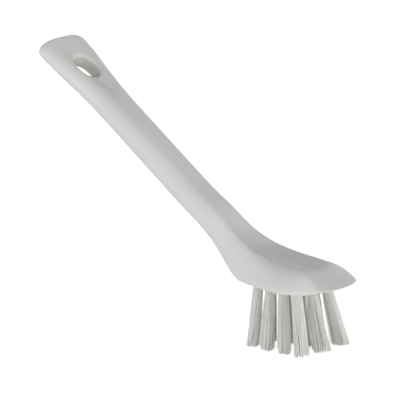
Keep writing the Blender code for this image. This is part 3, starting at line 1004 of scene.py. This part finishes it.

# %% [markdown]
# The block is white polypropylene: satin, slightly cloudy where the plastic flowed, with the very fine grain of a
# spark-eroded mould. Its colour changes very little: broad clouds of a few per cent, fainter streaks along the
# handle, and specks. Painted shade darkens and warms the wall of the hanging hole. The gloss changes more, as handled
# plastic does, and two bumps give the shallow sink of a thick moulding and its fine grain.

# %% Colour of the moulded plastic
PLASTIC_LIGHT = (0.800, 0.812, 0.790, 1)
PLASTIC_SHADE = (0.765, 0.778, 0.752, 1)
PLASTIC_SPECK = (0.735, 0.742, 0.715, 1)
# The colour of the painted shade on the wall of the hanging hole.
PLASTIC_PAINTED_SHADE = (0.610, 0.605, 0.560, 1)
ALONG_HANDLE = {"Rotation": (0, HANDLE_LEAN, 0), "Scale": (0.25, 1, 1)}
plastic, shader = new_material("satin_white_plastic", roughness=0.42)
coordinates = add_node(plastic, "TexCoord").outputs["Object"]
clouds = spread(plastic, noise(plastic, coordinates, scale=26, detail=4), low=0, high=1)
flow_map = add_node(plastic, "Mapping", {"Vector": coordinates, **ALONG_HANDLE}).outputs["Vector"]
flow = spread(plastic, noise(plastic, flow_map, scale=120, detail=3, roughness=0.6), low=0, high=0.5)
speck_noise = noise(plastic, coordinates, scale=900, detail=2, roughness=0.4)
specks = spread(plastic, speck_noise, low=0, high=0.55, start=0.66, end=0.78)
# Where the painted shade of the hanging hole lies, read from the block's corners.
painted_hole_shade = add_node(plastic, "Attribute", attribute_name="painted_hole_shade").outputs["Fac"]
colour = blend_colours(plastic, clouds, PLASTIC_LIGHT, PLASTIC_SHADE)
colour = blend_colours(plastic, flow, colour, PLASTIC_SHADE)
colour = blend_colours(plastic, specks, colour, PLASTIC_SPECK)
colour = blend_colours(plastic, painted_hole_shade, colour, PLASTIC_PAINTED_SHADE)
connect(plastic, colour, shader, "Base Color")
block.data.materials.append(plastic)
print("block material:", plastic.name)

# %% Gloss and grain of the moulded plastic
PLASTIC_SPECULAR = 0.25
gloss_noise = noise(plastic, coordinates, scale=60, detail=5, roughness=0.6)
connect(plastic, spread(plastic, gloss_noise, low=0.44, high=0.58), shader, "Roughness")
sink_noise = noise(plastic, coordinates, scale=55, detail=2)
sink = bump(plastic, sink_noise, strength=0.10, distance=0.0012)
grain_noise = noise(plastic, coordinates, scale=2600, detail=2)
grain = bump(plastic, grain_noise, strength=0.10, distance=0.00008, under=sink)
connect(plastic, grain, shader, "Normal")
shader.inputs["Specular IOR Level"].default_value = PLASTIC_SPECULAR
print("layers in the block's finish:", len(plastic.node_tree.nodes), "nodes")

# %% [markdown]
# The filaments are a clearer plastic than the block. Each has its own tone and is streaked along its length by the die
# that it was drawn through. Painted shade makes them a little warmer and darker near the sole, where less light
# reaches them.

# %% Filament plastic
FILAMENT_LIGHT = (0.935, 0.940, 0.910, 1)
FILAMENT_SHADE = (0.830, 0.840, 0.805, 1)
# The colour of the painted shade near the sole.
FILAMENT_ROOT_SHADE = (0.820, 0.810, 0.740, 1)
FILAMENT_SPECULAR = 0.3
ALONG_FILAMENTS = (1, 1, 0.04)
bristle, shader = new_material("drawn_white_filament", roughness=0.36)
coordinates = add_node(bristle, "TexCoord").outputs["Object"]
tone = add_node(bristle, "Attribute", attribute_name="filament_tone").outputs["Fac"]
along = add_node(bristle, "Attribute", attribute_name="filament_along").outputs["Fac"]
streak_map = add_node(bristle, "Mapping", {"Vector": coordinates, "Scale": ALONG_FILAMENTS}).outputs["Vector"]
streaks = spread(bristle, noise(bristle, streak_map, scale=1500, detail=3, roughness=0.6), low=0, high=0.6)
own_tone = spread(bristle, tone, low=0, high=0.75, start=0, end=1)
# Painted shade: darker and warmer towards the sole.
painted_root_shade = spread(bristle, along, low=0.85, high=0, start=0.12, end=0.5)
colour = blend_colours(bristle, own_tone, FILAMENT_LIGHT, FILAMENT_SHADE)
colour = blend_colours(bristle, streaks, colour, FILAMENT_SHADE)
colour = blend_colours(bristle, painted_root_shade, colour, FILAMENT_ROOT_SHADE)
connect(bristle, colour, shader, "Base Color")
connect(bristle, spread(bristle, streaks, low=0.30, high=0.48, start=0, end=0.6), shader, "Roughness")
connect(bristle, bump(bristle, streaks, strength=0.15, distance=0.00004), shader, "Normal")
shader.inputs["Specular IOR Level"].default_value = FILAMENT_SPECULAR
for bundle in bundles.values():
    bundle.data.materials.append(bristle)
print("filament material:", bristle.name)

# %% [markdown]
# The anchors are flat steel wire. They are hidden in the folds of the tufts, but a part that is taken apart shows
# them, so they get drawn metal with fine lines along the wire.

# %% Anchor steel
STEEL_LIGHT = (0.62, 0.61, 0.59, 1)
STEEL_SHADE = (0.46, 0.455, 0.44, 1)
ALONG_WIRE = (1, 0.05, 1)
steel, shader = new_material("drawn_anchor_steel", roughness=0.32, metallic=1.0)
coordinates = add_node(steel, "TexCoord").outputs["Object"]
line_map = add_node(steel, "Mapping", {"Vector": coordinates, "Scale": ALONG_WIRE}).outputs["Vector"]
lines_drawn = spread(steel, noise(steel, line_map, scale=4000, detail=3, roughness=0.6), low=0, high=1)
connect(steel, blend_colours(steel, lines_drawn, STEEL_LIGHT, STEEL_SHADE), shader, "Base Color")
connect(steel, spread(steel, lines_drawn, low=0.24, high=0.42, start=0, end=1), shader, "Roughness")
connect(steel, bump(steel, lines_drawn, strength=0.3, distance=0.00003), shader, "Normal")
anchor_nodes = [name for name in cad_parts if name.startswith("anchor_")]
for name in anchor_nodes:
    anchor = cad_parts[name]
    anchor.data.materials.clear()
    anchor.data.materials.append(steel)
print(len(anchor_nodes), "anchors in drawn steel")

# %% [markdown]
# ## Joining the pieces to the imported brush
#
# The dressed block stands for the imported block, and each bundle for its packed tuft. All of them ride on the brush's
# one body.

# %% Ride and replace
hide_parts("handle_body")
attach(block, "root")
for name, bundle in bundles.items():
    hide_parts("tuft_" + name)
    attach(bundle, "root")
print("pieces joined:", 1 + len(bundles))

# %% [markdown]
# ## Floor and light
#
# The photograph has a pure white ground. A white background that also lit the brush would wash it out, so what the
# camera sees is kept apart from what lights the brush. A Light Path node says which kind of ray has reached the floor
# or the world.


# %% Tell what is seen from what lights
def seen_directly(owner):
    """One where the camera, or a mirror-like or clear surface, looks at the background, and zero for its light."""
    path = add_node(owner, "LightPath")
    value = path.outputs["Is Camera Ray"]
    for name in ("Is Glossy Ray", "Is Transmission Ray"):
        value = add_node(owner, "Math", {0: value, 1: path.outputs[name]}, operation="MAXIMUM").outputs[0]
    return value


WHITE = (1, 1, 1, 1)
print("the background is white to camera, glossy and transmission rays")

# %% [markdown]
# The floor is white paint. Where it is seen, it also glows a little, so that it matches the white behind it, and it
# still takes the soft shadow of the brush. Its glow lights nothing.

# %% White floor
FLOOR_SIZE = 6.0
FLOOR_GLOW = 0.80
FLOOR_PAINT = (0.93, 0.93, 0.92, 1)
select_nothing()
bpy.ops.mesh.primitive_plane_add(size=FLOOR_SIZE, location=(0, 0, 0))
floor = bpy.context.object
floor.name = "white_floor"
floor_paint = bpy.data.materials.new("white_floor_paint")
floor_paint.use_nodes = True
tree = floor_paint.node_tree
tree.nodes.remove(tree.nodes["Principled BSDF"])
paint = add_node(floor_paint, "BsdfDiffuse", {"Color": FLOOR_PAINT}).outputs[0]
glow = add_node(floor_paint, "Emission", {"Color": WHITE, "Strength": FLOOR_GLOW}).outputs[0]
glowing = add_node(floor_paint, "AddShader", {0: paint, 1: glow}).outputs[0]
floor_mix = add_node(floor_paint, "MixShader", {0: seen_directly(floor_paint), 1: paint, 2: glowing}).outputs[0]
connect(floor_paint, floor_mix, tree.nodes["Material Output"], "Surface")
floor.data.materials.append(floor_paint)
print(f"floor: {FLOOR_SIZE:.0f} m wide, glow {FLOOR_GLOW}")

# %% [markdown]
# The photograph's light comes from low down on all sides, as from the white walls of a photo tent: the sides of the
# brush are brighter than its top. So the world lights most from the horizon and fades to almost nothing overhead.
# To a direct look it is plain white.

# %% White surroundings
HORIZON_LIGHT, ZENITH_LIGHT = 1.5, 0.1
# The height of a direction, from 0 at the horizon to 1 overhead, at which the light has faded.
RING_TOP = 0.6
ROOM_TINT = (0.99, 0.995, 1.0, 1)
world = bpy.data.worlds.new("pale_room")
bpy.context.scene.world = world
world.use_nodes = True
direction = add_node(world, "TexCoord").outputs["Generated"]
height = add_node(world, "SeparateXYZ", {0: direction}).outputs["Z"]
fading = {"Value": height, "From Max": RING_TOP, "To Min": HORIZON_LIGHT, "To Max": ZENITH_LIGHT}
ring_light = add_node(world, "MapRange", fading, interpolation_type="SMOOTHSTEP").outputs["Result"]
background = world.node_tree.nodes["Background"]
background.inputs["Color"].default_value = ROOM_TINT
connect(world, ring_light, background, "Strength")
white = add_node(world, "Background", {"Color": WHITE}).outputs[0]
looks = {0: seen_directly(world), 1: background.outputs[0], 2: white}
sky_mix = add_node(world, "MixShader", looks).outputs[0]
connect(world, sky_mix, world.node_tree.nodes["World Output"], "Surface")
print("world light from the horizon up:", HORIZON_LIGHT, "to", ZENITH_LIGHT)

# %% [markdown]
# Four low disk lamps shape the brush. The key lamp stands beside the camera, one lights the right side squarely, one
# the front, and a wide weak one keeps the far side from going dull. Their powers were fitted to the photograph's
# tones, and all aim at the middle of the brush.


# %% Lamps
def soft_lamp(name, place, size, power):
    """A disk lamp of this size in metres and this power in watts, which looks at the brush."""
    bpy.ops.object.light_add(type="AREA", location=place)
    lamp = bpy.context.object
    lamp.name = name
    lamp.data.shape = "DISK"
    lamp.data.size = size
    lamp.data.energy = power
    lamp.rotation_euler = (Vector(place) - LAMP_TARGET).to_track_quat("Z", "Y").to_euler()


LAMP_TARGET = Vector((0, 0, 0.08))
soft_lamp("key_lamp", place=(1.1, -1.3, 0.28), size=0.5, power=5.4)
soft_lamp("side_lamp", place=(0.0, -1.7, 0.25), size=0.5, power=4.8)
soft_lamp("front_lamp", place=(1.65, 0.35, 0.28), size=0.5, power=6.8)
soft_lamp("back_lamp", place=(-1.3, 1.2, 0.35), size=1.0, power=3.5)

# %% [markdown]
# Colours are shown as they are, without a film look that would grey the white ground.

# %% Colour
bpy.context.scene.view_settings.view_transform = "Standard"
